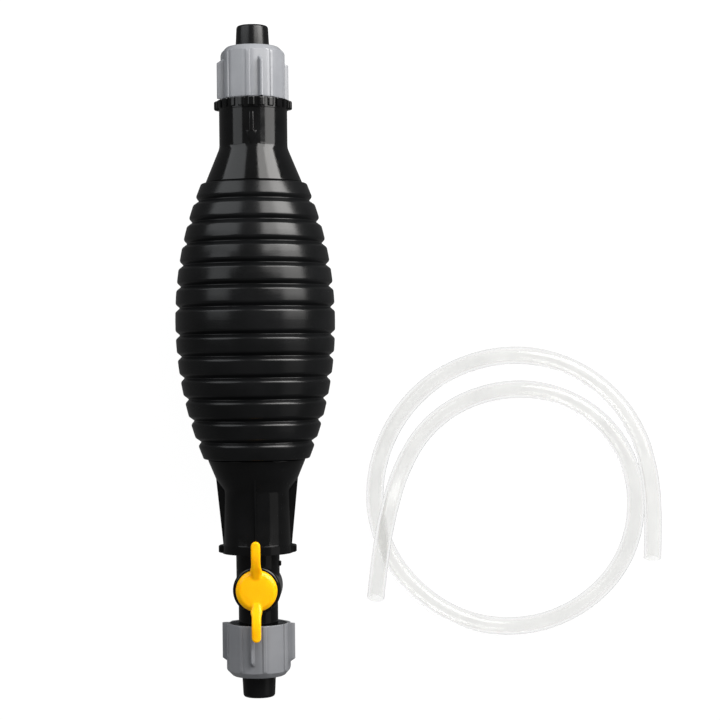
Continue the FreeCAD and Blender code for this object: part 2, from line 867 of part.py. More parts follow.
def hose_path(points):
    """Straight runs joined by tangent arcs, each as large as its two runs allow."""
    share = 0.45
    edges = []
    radii = []
    last = points[0]
    for before, corner, after in zip(points, points[1:], points[2:]):
        back = before - corner
        ahead = after - corner
        turn = math.pi - back.getAngle(ahead)
        reach = share * min(back.Length, ahead.Length)
        radii.append(reach / math.tan(turn / 2))
        start = corner + back.normalize() * reach
        finish = corner + ahead.normalize() * reach
        bisector = (back + ahead).normalize()
        to_centre = radii[-1] / math.cos(turn / 2)
        middle = corner + bisector * (to_centre - radii[-1])
        edges.append(Part.LineSegment(last, start).toShape())
        edges.append(Part.Arc(start, middle, finish).toShape())
        last = finish
    edges.append(Part.LineSegment(last, points[-1]).toShape())
    return Part.Wire(edges), radii


def swept(path, start, direction, radius):
    ring = Part.Wire(Part.makeCircle(radius, start, direction))
    return path.makePipeShell([ring], True, False)


def make_hose():
    """A clear hose, open right through, lying loose on the floor beside the pump."""
    points = [FreeCAD.Vector(*point) for point in HOSE_ROUTE]
    path, radii = hose_path(points)
    direction = points[1] - points[0]
    outside = swept(path, points[0], direction, DIMENSIONS["hose_radius"])
    inside = swept(path, points[0], direction, DIMENSIONS["hose_bore"])
    hose = doc.addObject("Part::Feature", "hose_tube")
    hose.Label = "hose"
    hose.Shape = outside.cut(inside)
    hose.Placement = FreeCAD.Placement()
    parts.append(hose)
    section = math.pi * (DIMENSIONS["hose_radius"] ** 2 - DIMENSIONS["hose_bore"] ** 2)
    print("hose length", round(path.Length, 1), "mm")
    print("hose radii", [round(radius, 1) for radius in radii])
    print("hose volume against section times length", hose.Shape.Volume / (section * path.Length))


# ---------------------------------------------------------------- assembly

make_bulb()
make_inlet_neck()
make_outlet_neck()
make_valve("inlet", d.inlet_valve_at)
make_valve("outlet", -d.outlet_valve_at)
for end_name in ("inlet", "outlet"):
    make_coupling(end_name)
make_valve_body()
make_spigot_ring()
make_valve_plug()
make_plug_rings()
make_plug_clip()
make_lever()
make_hose()
doc.recompute()

for item in doc.Objects:
    assert not {"Invalid", "Error"} & set(item.State), f"{item.Label}: {item.State}"
for item in parts:
    shape = item.Shape
    assert not shape.isNull() and shape.isValid() and shape.Volume > 0, f"{item.Label}: bad shape"

os.makedirs("parts", exist_ok=True)
for item in parts:
    item.Shape.exportStep(f"parts/{item.Label}.step")
    box = item.Shape.BoundBox
    low = [round(v, 1) for v in (box.XMin, box.YMin, box.ZMin)]
    high = [round(v, 1) for v in (box.XMax, box.YMax, box.ZMax)]
    print(item.Label, len(item.Shape.Solids), round(item.Shape.Volume), low, high)
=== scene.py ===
import math

import bmesh
import bpy
from mathutils import Matrix, Vector


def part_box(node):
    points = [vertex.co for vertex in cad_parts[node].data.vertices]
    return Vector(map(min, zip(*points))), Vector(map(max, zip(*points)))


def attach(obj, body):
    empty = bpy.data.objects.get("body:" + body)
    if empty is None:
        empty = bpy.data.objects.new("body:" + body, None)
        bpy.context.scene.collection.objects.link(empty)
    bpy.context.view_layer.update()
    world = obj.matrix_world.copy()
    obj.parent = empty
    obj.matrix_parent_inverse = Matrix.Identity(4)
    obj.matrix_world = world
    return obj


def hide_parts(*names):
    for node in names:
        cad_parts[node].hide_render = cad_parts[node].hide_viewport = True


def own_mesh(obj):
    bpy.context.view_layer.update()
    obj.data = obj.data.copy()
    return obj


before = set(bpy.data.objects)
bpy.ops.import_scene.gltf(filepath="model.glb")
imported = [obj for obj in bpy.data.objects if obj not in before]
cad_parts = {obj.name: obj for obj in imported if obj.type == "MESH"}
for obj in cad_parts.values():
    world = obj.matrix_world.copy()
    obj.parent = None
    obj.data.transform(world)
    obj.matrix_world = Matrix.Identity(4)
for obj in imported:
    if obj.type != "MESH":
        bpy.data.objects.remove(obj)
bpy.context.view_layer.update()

# Siphon bulb pump. Outlines are written in millimetres as (radius, distance along the pump's axis,
# rounding of that corner); the frame is in metres, with the pump's axis along Y.

MM = 0.001
AXIS = sum(corner.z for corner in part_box("bulb")) / 2
BARREL_Y = sum(corner.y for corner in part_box("lever")) / 2
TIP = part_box("inlet_sleeve")[1].y / MM
PI = math.pi


# ---------------------------------------------------------------- camera

# The camera's height over the pump's axis, and how much the picture's width takes in there.
CAMERA_X = 0.0588
CAMERA_HEIGHT = 1.10
IMAGE_WIDTH = 0.4062
SENSOR = 36.0
CAMERA_ROLL = math.radians(-0.62)


def make_camera():
    """Looks straight down on the pump and the hose beside it."""
    data = bpy.data.cameras.new("camera")
    data.sensor_width = SENSOR
    data.lens = SENSOR * CAMERA_HEIGHT / IMAGE_WIDTH
    camera = bpy.data.objects.new("camera", data)
    camera.location = (CAMERA_X, 0.0, AXIS + CAMERA_HEIGHT)
    camera.rotation_euler = (0.0, 0.0, CAMERA_ROLL)
    bpy.context.scene.collection.objects.link(camera)
    bpy.context.scene.camera = camera


# ---------------------------------------------------------------- materials

def new_material(name, **sockets):
    """A material with a Principled shader, some of its sockets set."""
    material = bpy.data.materials.new(name)
    material.use_nodes = True
    shader = material.node_tree.nodes["Principled BSDF"]
    for socket, value in sockets.items():
        shader.inputs[socket.replace("_", " ")].default_value = value
    return material


# The values of a pattern between which a surface goes from its low to its high colour or roughness.
COLOUR_SPAN = (0.35, 0.65)
ROUGHNESS_SPAN = (0.3, 0.7)
PATCH_DETAIL = 5.0
GRAIN_DETAIL = 3.0
GRAIN_DEPTH = 0.0002


def add_noise(material, scale, detail, stretch):
    """A noise pattern in the piece's own space."""
    tree = material.node_tree
    place = tree.nodes.new("ShaderNodeTexCoord")
    mapping = tree.nodes.new("ShaderNodeMapping")
    mapping.inputs["Scale"].default_value = stretch
    noise = tree.nodes.new("ShaderNodeTexNoise")
    noise.inputs["Scale"].default_value = scale
    noise.inputs["Detail"].default_value = detail
    tree.links.new(place.outputs["Object"], mapping.inputs["Vector"])
    tree.links.new(mapping.outputs["Vector"], noise.inputs["Vector"])
    return noise.outputs["Fac"]


def add_ramp(material, factor, low, high):
    """Turns a pattern into colours between low and high."""
    ramp = material.node_tree.nodes.new("ShaderNodeValToRGB")
    for element, position, colour in zip(ramp.color_ramp.elements, COLOUR_SPAN, (low, high)):
        element.position = position
        element.color = (*colour, 1.0)
    material.node_tree.links.new(factor, ramp.inputs["Fac"])
    return ramp.outputs["Color"]


def add_range(material, factor, low, high):
    """Turns a pattern into a number between low and high."""
    scale = material.node_tree.nodes.new("ShaderNodeMapRange")
    scale.inputs["From Min"].default_value = ROUGHNESS_SPAN[0]
    scale.inputs["From Max"].default_value = ROUGHNESS_SPAN[1]
    scale.inputs["To Min"].default_value = low
    scale.inputs["To Max"].default_value = high
    material.node_tree.links.new(factor, scale.inputs["Value"])
    return scale.outputs["Result"]


def add_bump(material, height, strength, distance):
    """Turns a pattern into small bumps on the surface."""
    tree = material.node_tree
    bump = tree.nodes.new("ShaderNodeBump")
    bump.inputs["Strength"].default_value = strength
    bump.inputs["Distance"].default_value = distance
    tree.links.new(height, bump.inputs["Height"])
    tree.links.new(bump.outputs["Normal"], tree.nodes["Principled BSDF"].inputs["Normal"])


def finish_surface(material, colours, roughness, patch_scale, grain_scale, grain, stretch=(1, 1, 1)):
    """Gives a moulded surface its mottled colour, uneven gloss and fine grain."""
    links = material.node_tree.links
    shader = material.node_tree.nodes["Principled BSDF"]
    patches = add_noise(material, patch_scale, PATCH_DETAIL, stretch)
    grains = add_noise(material, grain_scale, GRAIN_DETAIL, stretch)
    links.new(add_ramp(material, patches, *colours), shader.inputs["Base Color"])
    links.new(add_range(material, grains, *roughness), shader.inputs["Roughness"])
    add_bump(material, grains, grain, GRAIN_DEPTH)
    return material


def bulb_rubber():
    material = new_material("bulb_rubber", Specular_IOR_Level=0.32)
    return finish_surface(
        material, colours=((0.0028, 0.0030, 0.0032), (0.0046, 0.0048, 0.0052)),
        roughness=(0.21, 0.27), patch_scale=55.0, grain_scale=1600.0, grain=0.04)


def black_plastic():
    material = new_material("black_plastic", Specular_IOR_Level=0.32)
    return finish_surface(
        material, colours=((0.0022, 0.0023, 0.0024), (0.0036, 0.0037, 0.0039)),
        roughness=(0.08, 0.15), patch_scale=70.0, grain_scale=260.0, grain=0.02)


def black_rubber():
    material = new_material("black_rubber", Specular_IOR_Level=0.3)
    return finish_surface(
        material, colours=((0.0026, 0.0027, 0.0029), (0.0044, 0.0045, 0.0048)),
        roughness=(0.23, 0.27), patch_scale=80.0, grain_scale=2400.0, grain=0.03)


def grey_plastic():
    material = new_material("grey_plastic", Specular_IOR_Level=0.5)
    return finish_surface(
        material, colours=((0.178, 0.184, 0.198), (0.200, 0.206, 0.220)),
        roughness=(0.18, 0.22), patch_scale=60.0, grain_scale=2600.0, grain=0.02)


def yellow_plastic():
    material = new_material("yellow_plastic", Specular_IOR_Level=0.22, Subsurface_Weight=0.35,
                            Subsurface_Radius=(1.0, 0.45, 0.08), Subsurface_Scale=0.004)
    return finish_surface(
        material, colours=((1.0, 0.45, 0.0), (1.0, 0.49, 0.001)),
        roughness=(0.22, 0.28), patch_scale=70.0, grain_scale=2400.0, grain=0.02)


def white_plastic():
    material = new_material("white_plastic", Specular_IOR_Level=0.5, Subsurface_Weight=0.15,
                            Subsurface_Radius=(1.0, 0.9, 0.7), Subsurface_Scale=0.002)
    return finish_surface(
        material, colours=((0.74, 0.735, 0.70), (0.80, 0.795, 0.76)),
        roughness=(0.32, 0.42), patch_scale=90.0, grain_scale=1000.0, grain=0.06)


def spring_steel():
    material = new_material("spring_steel", Metallic=1.0)
    return finish_surface(
        material, colours=((0.50, 0.50, 0.50), (0.62, 0.62, 0.61)),
        roughness=(0.20, 0.32), patch_scale=120.0, grain_scale=700.0, grain=0.08,
        stretch=(1.0, 8.0, 1.0))


def clear_hose():
    material = new_material("clear_hose", Transmission_Weight=1.0, IOR=1.32)
    return finish_surface(
        material, colours=((0.885, 0.885, 0.878), (0.920, 0.920, 0.912)),
        roughness=(0.12, 0.18), patch_scale=60.0, grain_scale=350.0, grain=0.04)


def make_materials():
    """Every material, under its own name."""
    makers = (
        bulb_rubber, black_plastic, black_rubber, grey_plastic,
        yellow_plastic, white_plastic, spring_steel, clear_hose,
    )
    return {maker.__name__: maker() for maker in makers}


# ---------------------------------------------------------------- mesh making

def add_object(name, mesh, material, smooth_angle=38.0):
    """Links a mesh as a smooth-shaded object with crisp edges where it turns sharply."""
    for polygon in mesh.polygons:
        polygon.use_smooth = True
    mesh.set_sharp_from_angle(angle=math.radians(smooth_angle))
    mesh.materials.clear()
    mesh.materials.append(material)
    piece = bpy.data.objects.new(name, mesh)
    bpy.context.scene.collection.objects.link(piece)
    return piece


SAME_POINT = 1e-6
NO_LENGTH = 1e-7


def mesh_from(name, points, faces):
    """A mesh of these points and faces, with coincident points joined and faces turned outwards."""
    mesh = bpy.data.meshes.new(name)
    mesh.from_pydata(points, [], faces)
    shell = bmesh.new()
    shell.from_mesh(mesh)
    bmesh.ops.remove_doubles(shell, verts=shell.verts, dist=SAME_POINT)
    bmesh.ops.dissolve_degenerate(shell, edges=shell.edges, dist=NO_LENGTH)
    bmesh.ops.recalc_face_normals(shell, faces=shell.faces)
    shell.to_mesh(mesh)
    shell.free()
    mesh.update()
    return mesh


def rounded(corners, steps=5):
    """A closed outline through the corners (radius, along, rounding), its corners rounded."""
    most = 0.48  # of a side's length, so that two roundings never meet
    outline = []
    count = len(corners)
    for i, (radius, along, rounding) in enumerate(corners):
        corner = Vector((radius, along))
        before = Vector(corners[i - 1][:2]) - corner
        after = Vector(corners[(i + 1) % count][:2]) - corner
        if rounding <= 0:
            outline.append(tuple(corner))
            continue
        half = before.angle(after) / 2
        reach = min(rounding / math.tan(half), before.length * most, after.length * most)
        start = corner + before.normalized() * reach
        finish = corner + after.normalized() * reach
        for step in range(steps + 1):
            t = step / steps
            near = start.lerp(corner, t)
            far = corner.lerp(finish, t)
            outline.append(tuple(near.lerp(far, t)))
    return outline


def even_angles(count):
    """Angles evenly around a full turn."""
    return [2 * PI * i / count for i in range(count)]


def skin(name, outline, angles, shape=None, side=1):
    """Turns an outline (radius, along) about the pump's axis into a closed shell.

    Angle 0 is straight up and positive angles lead towards +X. shape(radius, along, angle) may
    change a radius. side is -1 for the outlet end, whose outlines run towards -Y."""
    points = []
    for radius, along in outline:
        for angle in angles:
            r = radius if shape is None else shape(radius, along, angle)
            x, z = r * math.sin(angle), r * math.cos(angle)
            points.append((x * MM, side * along * MM, AXIS + z * MM))
    return mesh_from(name, points, ring_faces(len(outline), len(angles)))


def ring_faces(rows, columns):
    """The faces of a grid of points that closes on itself both ways."""
    faces = []
    for row in range(rows):
        below = row * columns
        above = ((row + 1) % rows) * columns
        for column in range(columns):
            beside = (column + 1) % columns
            faces.append((below + column, below + beside, above + beside, above + column))
    return faces


def capped_faces(rows, columns):
    """The faces of a tube of rings, closed by a flat cap at each end."""
    faces = ring_faces(rows, columns)[:-columns]
    faces += [tuple(range(columns)), tuple(range((rows - 1) * columns, rows * columns))]
    return faces


def wrap(angle):
    """The angle, brought between -pi and pi."""
    return (angle + PI) % (2 * PI) - PI


# Where extra angles fall across a feature, as shares of its half width, and the least step apart.
FEATURE_SHARES = (-1.12, -1.0, -0.93, -0.5, 0.0, 0.5, 0.93, 1.0, 1.12)
LEAST_STEP = 0.002


def refined(count, features):
    """Even angles, with more where a feature's edges lie: features are (angle, half width)."""
    angles = even_angles(count)
    for middle, half in features:
        for share in FEATURE_SHARES:
            angles.append((middle + half * share) % (2 * PI))
    angles = sorted(angles)
    kept = [angles[0]]
    for angle in angles[1:]:
        if angle - kept[-1] > LEAST_STEP:
            kept.append(angle)
    return kept


def plateau(distance, half, edge):
    """1 well inside half and 0 just beyond it, with a round shoulder as wide as edge between."""
    if distance <= half - edge:
        return 1.0
    if distance >= half + edge * 0.15:
        return 0.0
    t = min(1.0, (distance - (half - edge)) / edge)
    return math.sqrt(max(0.0, 1.0 - t * t))


# ---------------------------------------------------------------- hose

# The hose's route, the same points as in the CAD model.
HOSE_FLOOR = 0.0051
HOSE_ROUTE = [
    (0.0665, -0.1390, HOSE_FLOOR),
    (0.0690, -0.1155, 0.0148),
    (0.0735, -0.0900, 0.0182),
    (0.0815, -0.0645, 0.0065),
    (0.0950, -0.0415, HOSE_FLOOR),
    (0.1150, -0.0260, HOSE_FLOOR),
    (0.1390, -0.0180, HOSE_FLOOR),
    (0.1640, -0.0180, HOSE_FLOOR),
    (0.1885, -0.0275, HOSE_FLOOR),
    (0.2080, -0.0455, HOSE_FLOOR),
    (0.2190, -0.0695, HOSE_FLOOR),
    (0.2195, -0.0970, HOSE_FLOOR),
    (0.2100, -0.1225, HOSE_FLOOR),
    (0.1915, -0.1420, HOSE_FLOOR),
    (0.1680, -0.1540, HOSE_FLOOR),
    (0.1415, -0.1575, HOSE_FLOOR),
    (0.1155, -0.1520, HOSE_FLOOR),
    (0.0925, -0.1375, HOSE_FLOOR),
    (0.0750, -0.1165, HOSE_FLOOR),
    (0.0660, -0.0900, HOSE_FLOOR),
    (0.0675, -0.0620, HOSE_FLOOR),
    (0.0785, -0.0355, HOSE_FLOOR),
    (0.0985, -0.0135, HOSE_FLOOR),
    (0.1250, -0.0005, HOSE_FLOOR),
    (0.1540, 0.0030, HOSE_FLOOR),
    (0.1815, -0.0040, HOSE_FLOOR),
    (0.2050, -0.0205, 0.0060),
    (0.2205, -0.0435, 0.0106),
    (0.2270, -0.0695, 0.0126),
    (0.2285, -0.0950, 0.0114),
    (0.2285, -0.1175, HOSE_FLOOR),
]
HOSE_RADIUS = 0.005
HOSE_BORE = 0.00375


def hose_line():
    """Points along the smooth curve that the route's points control."""
    curve = bpy.data.curves.new("hose_route", "CURVE")
    curve.dimensions = "3D"
    curve.resolution_u = 12
    spline = curve.splines.new("NURBS")
    spline.points.add(len(HOSE_ROUTE) - 1)
    for point, place in zip(spline.points, HOSE_ROUTE):
        point.co = (*place, 1.0)
    spline.order_u = 3
    spline.use_endpoint_u = True
    carrier = bpy.data.objects.new("hose_route", curve)
    bpy.context.scene.collection.objects.link(carrier)
    bpy.context.view_layer.update()
    mesh = bpy.data.meshes.new_from_object(carrier)
    line = [vertex.co.copy() for vertex in mesh.vertices]
    bpy.data.objects.remove(carrier)
    bpy.data.curves.remove(curve)
    bpy.data.meshes.remove(mesh)
    return line


def tube_rings(line):
    """Each point of a line with two directions square to it and to each other."""
    rings = []
    side = Vector((0, 0, 1))
    for i, centre in enumerate(line):
        ahead = line[min(i + 1, len(line) - 1)] - line[max(i - 1, 0)]
        ahead.normalize()
        side = (side - ahead * side.dot(ahead)).normalized()
        rings.append((centre, side.copy(), ahead.cross(side)))
    return rings


def make_hose(material):
    """A clear hose with an open bore: outer wall, far cut end, inner wall and near cut end."""
    line = hose_line()
    rings = tube_rings(line)
    sectors = 36
    bevel = 0.0002
    walls = [
        (HOSE_RADIUS - bevel, rings[:1]), (HOSE_RADIUS, rings), (HOSE_RADIUS - bevel, rings[-1:]),
        (HOSE_BORE, rings[::-1]),
    ]
    points = []
    rows = 0
    for radius, places in walls:
        for centre, up, across in places:
            rows += 1
            for angle in even_angles(sectors):
                offset = up * math.cos(angle) + across * math.sin(angle)
                points.append(centre + offset * radius)
    mesh = mesh_from("clear_hose", points, ring_faces(rows, sectors))
    hose = add_object("clear_hose", mesh, material)
    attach(hose, "hose")
    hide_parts("hose")
    # The pump's gloss doesn't mirror the hose.
    hose.visible_glossy = False


# ---------------------------------------------------------------- bulb

BULB_RADIUS = 45.0
BULB_ARC = 205.0
BULB_HALF = 77.4
BULB_MIDDLE = 22.5
BULB_WALL = 2.2
MOUTH_RADIUS = 24.0
LIP_DEPTH = 3.2
SNAP_RADIUS = 25.3
RIB_PITCH = 12.0
MIDDLE_RIB = 15.2
GROOVES_EACH_WAY = 6
GROOVE_DEPTH = 2.5
GROOVE_HALF = 2.3
GROOVE_ROUNDING = 0.5
CROWN_ROUNDING = 6.0


def crown(along):
    """The bulb's outer radius, on one long arc."""
    return BULB_RADIUS - BULB_ARC + math.sqrt(BULB_ARC ** 2 - along ** 2)


def rib_corners(inset, half_groove, shoulder):
    """The corners of the bulb's ribs from end to end, with a groove between each two."""
    corners = []
    for step in range(-GROOVES_EACH_WAY, GROOVES_EACH_WAY):
        side = 1 if step >= 0 else -1
        order = step if step >= 0 else -step - 1
        groove = side * (MIDDLE_RIB / 2 + RIB_PITCH * order)
        low, high = groove - half_groove, groove + half_groove
        corners.append((crown(low) - inset, low, shoulder))
        corners.append((crown(groove) - inset - GROOVE_DEPTH, groove, GROOVE_ROUNDING))
        corners.append((crown(high) - inset, high, shoulder))
        middle = groove + RIB_PITCH / 2
        if step == -1:
            middle = 0.0
        if abs(middle) < BULB_HALF - RIB_PITCH / 2:
            corners.append((crown(middle) - inset, middle, CROWN_ROUNDING))
    return corners


def make_bulb(material):
    """The ribbed squeeze bulb: one wall, with an inward lip at each mouth that grips its neck."""
    end = BULB_HALF
    lip = end - LIP_DEPTH
    behind = lip - 1.4
    behind_radius = SNAP_RADIUS + 1.1
    outside = rib_corners(0.0, GROOVE_HALF, 1.9)
    inside = rib_corners(BULB_WALL, GROOVE_HALF + 1.3, 1.2)
    corners = [(MOUTH_RADIUS, -end, 0.3), (crown(end), -end, 1.3)] + outside
    corners += [(crown(end), end, 1.3), (MOUTH_RADIUS, end, 0.3), (MOUTH_RADIUS, lip, 0.5)]
    corners += [(behind_radius, behind, 0.8)] + inside[::-1]
    corners += [(behind_radius, -behind, 0.8), (MOUTH_RADIUS, -lip, 0.5)]
    outline = [(radius, along + BULB_MIDDLE) for radius, along in rounded(corners)]
    bulb = add_object("squeeze_bulb", skin("squeeze_bulb", outline, even_angles(144)), material, 60)
    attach(bulb, "pump")
    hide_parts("bulb")


# ---------------------------------------------------------------- necks

THREAD_ROOT = 14.1
THREAD_CREST = 15.5
THREAD_PITCH = 3.0
THREAD_START = 150.0
THREAD_END = 165.0
THREAD_HALF = 0.95
THREAD_FLANK = 0.6
THREAD_RUNOUT = 0.3
THREAD_FADE = 1.2
SEAT_PLANE = 167.4
THROAT = 21.0
POCKET = 15.3
BORE = 5.5
SOCKET = 8.05
LUG_RADIUS = 22.0
LUG_HALF_WIDTH = 3.0
LUG_SIDE_SHOULDER = 0.7
LUG_FACE_SHOULDER = 0.9
LUG_ANGLES = (PI / 2, -PI / 2)


def snap_corners(mouth, cone):
    """The collar that the bulb's lip snaps over."""
    start, crest, crest_end, step = mouth - 9.0, mouth - 6.4, mouth - 4.2, mouth - 3.5
    groove, gap = MOUTH_RADIUS - 0.05, 0.1
    chamfer = 0.6
    return [
        (THROAT, start, 0.5), (THROAT + 1.5, start, 0.5),
        (SNAP_RADIUS, crest, 0.6), (SNAP_RADIUS, crest_end, 0.4),
        (groove, step, 0.2), (groove, mouth + gap, 0.0),
        (cone - chamfer, mouth + gap, 0.0), (cone, mouth + gap + chamfer, 0.4),
    ]


def thread_rows(start, end):
    """Evenly spaced outline points where a thread is cut."""
    spacing = 0.25
    count = int((end - start) / spacing)
    return [(THREAD_ROOT, start + (end - start) * i / count) for i in range(count + 1)]


def thread_rise(along, angle, side):
    """Height of the helical ridge over the thread's root."""
    if not THREAD_START - THREAD_RUNOUT <= along <= THREAD_END + THREAD_RUNOUT:
        return 0.0
    turn = (along - THREAD_START) / THREAD_PITCH - side * angle / (2 * PI)
    across = abs(turn - round(turn)) * THREAD_PITCH
    ridge = max(0.0, min(1.0, (THREAD_HALF - across) / THREAD_FLANK))
    ends = min(along - THREAD_START, THREAD_END - along) + THREAD_RUNOUT
    return (THREAD_CREST - THREAD_ROOT) * ridge * max(0.0, min(1.0, ends / THREAD_FADE))


def lug(radius, angle, along, low, high):
    """The radius with the two square lugs of a ring added."""
    middle = (low + high) / 2
    upright = plateau(abs(along - middle), (high - low) / 2, LUG_FACE_SHOULDER)
    if upright <= 0:
        return radius
    for place in LUG_ANGLES:
        offset = wrap(angle - place)
        if abs(offset) < PI / 3:
            across = abs(math.sin(offset) * LUG_RADIUS)
            wide = plateau(across, LUG_HALF_WIDTH, LUG_SIDE_SHOULDER)
            radius = max(radius, radius + (LUG_RADIUS - radius) * wide * upright)
    return radius


INLET_NECK = 19.2
INLET_CONE = 27.2
INLET_CONE_END = 120.0
INLET_VALVE_AT = 138.0
INLET_POCKET_START = 118.0
SOCKET_START = 151.0
INLET_RING = (141.3, 146.8)
INLET_RING_RADIUS = 19.6
TEETH = 22
TOOTH_RADIUS = 20.5
TOOTH_HALF = 1.85
TOOTH_SIDE_SHOULDER = 0.35
TOOTH_FACE_SHOULDER = 0.4
RING_EDGE = 0.3


def inlet_shape(radius, along, angle):
    """Adds the hose thread, and the toothed ring with its two lugs."""
    low, high = INLET_RING
    if radius < THREAD_ROOT - 0.01:
        return radius
    if along > high + 0.2:
        return radius + thread_rise(along, angle, 1)
    if along < low - 0.2 or radius < INLET_RING_RADIUS - 0.8:
        return radius
    step = 2 * PI / TEETH
    offset = abs((angle + step / 2) % step - step / 2)
    tooth = plateau(offset * TOOTH_RADIUS, TOOTH_HALF, TOOTH_SIDE_SHOULDER)
    middle, reach = (low + high) / 2 + RING_EDGE, (high - low) / 2 - RING_EDGE
    upright = plateau(abs(along - middle), reach, TOOTH_FACE_SHOULDER)
    rise = (TOOTH_RADIUS - radius) * tooth * upright
    return lug(max(radius, radius + rise), angle, along, low, high - RING_EDGE)


def ring_rows(radius, low, high):
    """Outline points over a ring, close together where its lugs and teeth turn their corners."""
    steps = [0.0, 0.25, 0.5, 0.75, 1.0, 1.3]
    rows = [(radius, low + step) for step in steps]
    rows += [(radius, high - step) for step in reversed(steps)]
    return rows


def make_inlet_neck(material):
    """The rigid neck at the inlet, with its hose thread and the bore through it."""
    mouth = BULB_MIDDLE + BULB_HALF
    low, high = INLET_RING
    lower = rounded(snap_corners(mouth, INLET_CONE) + [
        (INLET_NECK, INLET_CONE_END, 9.0), (INLET_NECK, low - RING_EDGE, 0.0),
    ])
    upper = rounded([
        (THREAD_ROOT, SEAT_PLANE - 1.0, 0.0), (THREAD_ROOT, SEAT_PLANE, 0.6), (SOCKET, SEAT_PLANE, 0.3),
        (SOCKET, SOCKET_START, 0.2), (BORE, SOCKET_START, 0.2),
        (BORE, INLET_VALVE_AT, 0.2), (POCKET, INLET_VALVE_AT, 0.2),
        (POCKET, INLET_POCKET_START, 0.5), (THROAT, mouth + 3.5, 1.5),
    ])
    outline = lower + ring_rows(INLET_RING_RADIUS, low, high)
    outline += [(INLET_RING_RADIUS - 0.4, high + 0.3), (17.2, high + 0.35), (17.0, high + 0.2)]
    outline += [(THREAD_ROOT + 0.4, high + 0.2), (THREAD_ROOT, high + 0.7)]
    outline += thread_rows(THREAD_START - 0.5, THREAD_END + 0.5) + upper
    step = 2 * PI / TEETH
    features = [(step * i, TOOTH_HALF / TOOTH_RADIUS) for i in range(TEETH)]
    features += [(place, LUG_HALF_WIDTH / LUG_RADIUS) for place in LUG_ANGLES]
    mesh = skin("inlet_neck_shell", outline, refined(96, features), inlet_shape)
    neck = add_object("inlet_neck_shell", mesh, material)
    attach(neck, "pump")
    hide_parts("inlet_neck")


def make_flow_arrow(material):
    """A plain raised arrow that shows the way the liquid flows."""
    tip, head, top = 120.5, 128.0, 138.5
    shaft, barb = 1.1, 3.0
    thickness, sunk, bevel = 0.8 * MM, 0.35 * MM, 0.14 * MM
    corners = [
        (0, tip), (barb, head), (shaft, head), (shaft, top),
        (-shaft, top), (-shaft, head), (-barb, head),
    ]
    shell = bmesh.new()
    face = shell.faces.new([shell.verts.new((x * MM, y * MM, 0)) for x, y in corners])
    raised = bmesh.ops.extrude_face_region(shell, geom=[face])
    for item in raised["geom"]:
        if isinstance(item, bmesh.types.BMVert):
            item.co.z += thickness
    bmesh.ops.recalc_face_normals(shell, faces=shell.faces)
    edges = list(shell.edges)
    bmesh.ops.bevel(shell, geom=edges, offset=bevel, segments=2, affect="EDGES", profile=0.5)
    for vertex in shell.verts:
        radius = INLET_NECK * MM - sunk + vertex.co.z
        angle = vertex.co.x / (INLET_NECK * MM)
        vertex.co = (radius * math.sin(angle), vertex.co.y, AXIS + radius * math.cos(angle))
    mesh = bpy.data.meshes.new("flow_arrow")
    shell.to_mesh(mesh)
    shell.free()
    arrow = add_object("flow_arrow", mesh, material)
    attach(arrow, "pump")


OUTLET_NECK = 18.9
OUTLET_NECK_START = 73.1
OUTLET_CONE = 27.4
OUTLET_VALVE_AT = 77.0
OUTLET_VALVE_LEDGE = 3.3
OUTLET_RING = (103.6, 108.0)
OUTLET_RING_RADIUS = 19.9
WAIST_Y = 65.9
WAIST_RADIUS = 23.1
FIN_END = 102.6
FIN_END_RADIUS = 19.4
FIN_HALF = 0.8
FIN_SHOULDER = 0.3


def outlet_shape(radius, along, angle):
    """Adds the four gusset fins, and the ring's two lugs."""
    low, high = OUTLET_RING
    if radius < OUTLET_NECK - 0.6:
        return radius
    if along > low - 0.6:
        return lug(radius, angle, along, low - 0.4, high - 0.2)
    if along < WAIST_Y:
        return radius
    share = (along - WAIST_Y) / (FIN_END - WAIST_Y)
    fin = WAIST_RADIUS + (FIN_END_RADIUS - WAIST_RADIUS) * min(1.0, share)
    offset = abs((angle + PI / 4) % (PI / 2) - PI / 4)
    rise = plateau(offset * fin, FIN_HALF, FIN_SHOULDER)
    return max(radius, radius + (fin - radius) * rise)


def make_outlet_neck(material):
    """The rigid neck at the outlet, open for the stopcock's spigot."""
    mouth = BULB_HALF - BULB_MIDDLE
    low, high = OUTLET_RING
    ledge = POCKET - OUTLET_VALVE_LEDGE
    outer = rounded(snap_corners(mouth, OUTLET_CONE) + [
        (WAIST_RADIUS, WAIST_Y, 3.0), (OUTLET_NECK, OUTLET_NECK_START, 5.0),
        (OUTLET_NECK, low - 0.9, 0.0),
    ])
    inner = rounded([
        (OUTLET_RING_RADIUS, high - 0.6, 0.0), (OUTLET_RING_RADIUS, high, 0.5), (POCKET, high, 0.3),
        (POCKET, OUTLET_VALVE_AT, 0.2), (ledge, OUTLET_VALVE_AT, 0.2),
        (ledge, OUTLET_VALVE_AT - 3.0, 1.0), (THROAT, mouth + 3.5, 1.5),
    ])
    rows = [(OUTLET_NECK + 0.1, low - 0.6)]
    rows += ring_rows(OUTLET_RING_RADIUS, low - 0.3, high - 0.7)
    features = [(PI / 2 * i, FIN_HALF / OUTLET_NECK) for i in range(4)]
    features += [(place, LUG_HALF_WIDTH / LUG_RADIUS) for place in LUG_ANGLES]
    mesh = skin("outlet_neck_shell", outer + rows + inner, refined(120, features), outlet_shape, -1)
    neck = add_object("outlet_neck_shell", mesh, material)
    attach(neck, "pump")
    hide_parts("outlet_neck")


# ---------------------------------------------------------------- hose couplings

